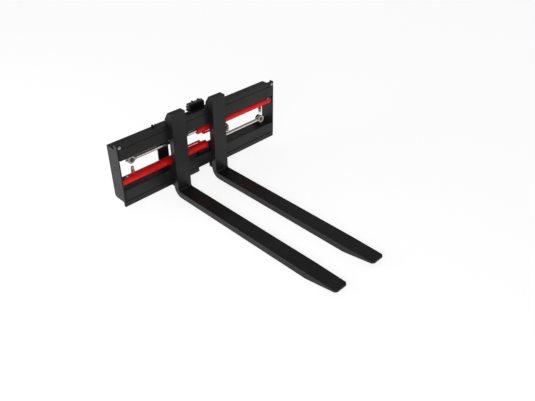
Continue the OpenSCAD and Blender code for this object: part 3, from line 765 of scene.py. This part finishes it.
def port_fittings(name, body):
    """Hose adapters with their plated caps, and the bleed screw with its plastic one."""
    bm_metal = bmesh.new()
    bm_cap = bmesh.new()
    adapters = solids(name + "_port_adapters")
    caps = solids(name + "_port_caps")
    for adapter, cap, way in zip(adapters, caps, PORT_WAYS[name]):
        if way is None:
            bleed_screw(bm_metal, bm_cap, name, adapter, cap)
        else:
            hose_adapter(bm_metal, adapter, way, PORT_HEX, hex_share=0.6, radius=PORT_THREAD_R)
            dust_cap(bm_metal, cap, way, ribs=18)
    metal_piece = new_piece(name + "_hose_adapters", bm_metal, body, "zinc_steel")
    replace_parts(metal_piece, name + "_port_adapters", name + "_port_caps")
    cap_piece = new_piece(name + "_bleed_cap", bm_cap, body, "cap_plastic")
    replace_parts(cap_piece, name + "_port_caps")


# ---------- manifold and bolts ----------

MANIFOLD_HEX = 15 * MM
MANIFOLD_THREAD_R = 6 * MM
MANIFOLD_BOLT_HEX = 13 * MM
STOP_BOLT_HEX = 16 * MM
STOP_BOLT_R = 5 * MM
BOLT_WASHER = 1.5 * MM
# The top rail's lip lies this far behind the rail's face
LIP_SETBACK = 2.5 * MM


def manifold_way(box):
    """The way that a fitting of the manifold faces: left if it lies beside the block, or else up."""
    left_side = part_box("manifold_block")[0].x
    tolerance = 1 * MM
    return -X if box[1].x < left_side + tolerance else Z


def manifold_fittings():
    """Hose adapters and dust caps of the manifold block."""
    bm_metal = bmesh.new()
    bm_cap = bmesh.new()
    for adapter in solids("manifold_adapters"):
        way = manifold_way(adapter)
        hose_adapter(bm_metal, adapter, way, MANIFOLD_HEX, hex_share=0.5, radius=MANIFOLD_THREAD_R)
    for cap in solids("manifold_caps"):
        dust_cap(bm_cap, cap, manifold_way(cap), ribs=16)
    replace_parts(new_piece("manifold_hose_adapters", bm_metal, CARRIAGE, "zinc_steel"), "manifold_adapters")
    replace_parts(new_piece("manifold_dust_caps", bm_cap, CARRIAGE, "cap_plastic"), "manifold_caps")


def manifold_bolts():
    """Hexagon bolt heads with washers on the block's top."""
    bm = bmesh.new()
    block_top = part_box("manifold_block")[1].z
    for low, high in solids("manifold_bolts"):
        foot = Vector(((low.x + high.x) / 2, (low.y + high.y) / 2, block_top))
        turned(bm, foot, Z, [(0, 8 * MM), (0.3 * MM, 8.3 * MM), (BOLT_WASHER, 8.3 * MM)])
        hexagon(bm, foot + Z * BOLT_WASHER, Z, MANIFOLD_BOLT_HEX, high.z - block_top - BOLT_WASHER)
    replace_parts(new_piece("manifold_bolt_heads", bm, CARRIAGE, "zinc_steel"), "manifold_bolts")


def stop_bolts():
    """Hexagon bolts with washers in the ends of the top lip."""
    bm = bmesh.new()
    lip_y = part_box("top_rail")[0].y + LIP_SETBACK
    for low, high in solids("fork_stop_bolts"):
        place = Vector(((low.x + high.x) / 2, lip_y, (low.z + high.z) / 2))
        turned(bm, place, -Y,
               [(0, 9.6 * MM), (0.4 * MM, 10 * MM), (1.2 * MM, 10 * MM), (BOLT_WASHER, 9.6 * MM)])
        hexagon(bm, place - Y * BOLT_WASHER, -Y, STOP_BOLT_HEX, lip_y - low.y - BOLT_WASHER)
        threaded_neck(bm, place, Y, STOP_BOLT_R, high.y - lip_y, THREAD_PITCH)
    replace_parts(new_piece("fork_stop_screws", bm, CARRIAGE, "zinc_steel"), "fork_stop_bolts")


# ---------- floor, lights and camera ----------

FLOOR_REACH = 60.0
FLOOR_COLOUR = (0.45, 0.45, 0.45)
FLOOR_GLOW = 0.80
HORIZON_LEVEL = 0.95
OVERHEAD_LEVEL = 0.30
# Each light's name, place, target, size and power in watts
LIGHTS = [
    ("key", (-3.0, -2.4, 1.9), (-0.35, -0.1, 0.1), (1.6, 1.2), 32),
    ("side", (-3.2, 1.4, 1.0), (-0.2, -0.3, 0.0), (2.4, 1.6), 34),
]
# The camera looks at a point on the floor, from the left of the front and from above
CAMERA_AIM = Vector((0.0983, -0.6158, FLOOR_Z))
CAMERA_DISTANCE = 3.6491
CAMERA_AZIMUTH = math.radians(-45)
CAMERA_ELEVATION = math.radians(35.264)
# Sensor width and focal length, in millimetres
SENSOR_WIDTH = 36.0
LENS = 39.96


def glow_material(name, colour, strength):
    """Matt surface that also gives off a white light of its own."""
    material, _, shader = new_material(name)
    shader.inputs["Base Color"].default_value = (*colour, 1)
    shader.inputs["Roughness"].default_value = 0.9
    shader.inputs["Specular IOR Level"].default_value = 0.1
    shader.inputs["Emission Color"].default_value = (1, 1, 1, 1)
    shader.inputs["Emission Strength"].default_value = strength
    return material


def add_floor():
    mesh = bpy.data.meshes.new("floor")
    outline = ((-1, -1), (1, -1), (1, 1), (-1, 1))
    corners = [(x * FLOOR_REACH, y * FLOOR_REACH, FLOOR_Z) for x, y in outline]
    mesh.from_pydata(corners, [], [(0, 1, 2, 3)])
    floor = bpy.data.objects.new("floor", mesh)
    bpy.context.scene.collection.objects.link(floor)
    mesh.materials.append(glow_material("pale_floor", FLOOR_COLOUR, FLOOR_GLOW))


def area_light(name, place, target, size, power):
    data = bpy.data.lights.new(name, "AREA")
    data.shape = "RECTANGLE"
    data.size, data.size_y = size
    data.energy = power
    light = bpy.data.objects.new(name, data)
    light.location = place
    light.rotation_euler = (Vector(target) - Vector(place)).to_track_quat("-Z", "Y").to_euler()
    bpy.context.scene.collection.objects.link(light)


def studio_world():
    """Even studio surroundings, nearly white at the horizon and grey overhead."""
    world = bpy.data.worlds.new("studio")
    world.use_nodes = True
    tree = world.node_tree
    texture = tree.nodes.new("ShaderNodeTexCoord")
    split = tree.nodes.new("ShaderNodeSeparateXYZ")
    tree.links.new(texture.outputs["Generated"], split.inputs[0])
    level = remap(tree, split.outputs["Z"], 0.0, 0.3, HORIZON_LEVEL, OVERHEAD_LEVEL)
    background = tree.nodes["Background"]
    background.inputs["Color"].default_value = (1, 1, 1, 1)
    tree.links.new(level, background.inputs["Strength"])
    bpy.context.scene.world = world


def add_studio():
    add_floor()
    studio_world()
    for name, place, target, size, power in LIGHTS:
        area_light(name, place, target, size, power)
    view = bpy.context.scene.view_settings
    view.view_transform = "Standard"
    view.look = "None"


def add_camera():
    forward = Vector((-math.sin(CAMERA_AZIMUTH) * math.cos(CAMERA_ELEVATION),
                      math.cos(CAMERA_AZIMUTH) * math.cos(CAMERA_ELEVATION),
                      -math.sin(CAMERA_ELEVATION)))
    data = bpy.data.cameras.new("camera")
    data.sensor_width = SENSOR_WIDTH
    data.lens = LENS
    camera = bpy.data.objects.new("camera", data)
    camera.location = CAMERA_AIM - forward * CAMERA_DISTANCE
    camera.rotation_euler = forward.to_track_quat("-Z", "Y").to_euler()
    bpy.context.scene.collection.objects.link(camera)
    bpy.context.scene.camera = camera


# ---------- the whole model ----------

finish_cad_nodes()
carriage_welds()
for side, body in (("left", LEFT_SET), ("right", RIGHT_SET)):
    fork_welds(side, body)
for name, body, way, up in CYLINDERS:
    barrel_welds(name, body, way, up)
    eye_weld(name, way)
    tube_nut(name, body, up)
    port_fittings(name, body)
manifold_fittings()
manifold_bolts()
stop_bolts()
add_studio()
add_camera()
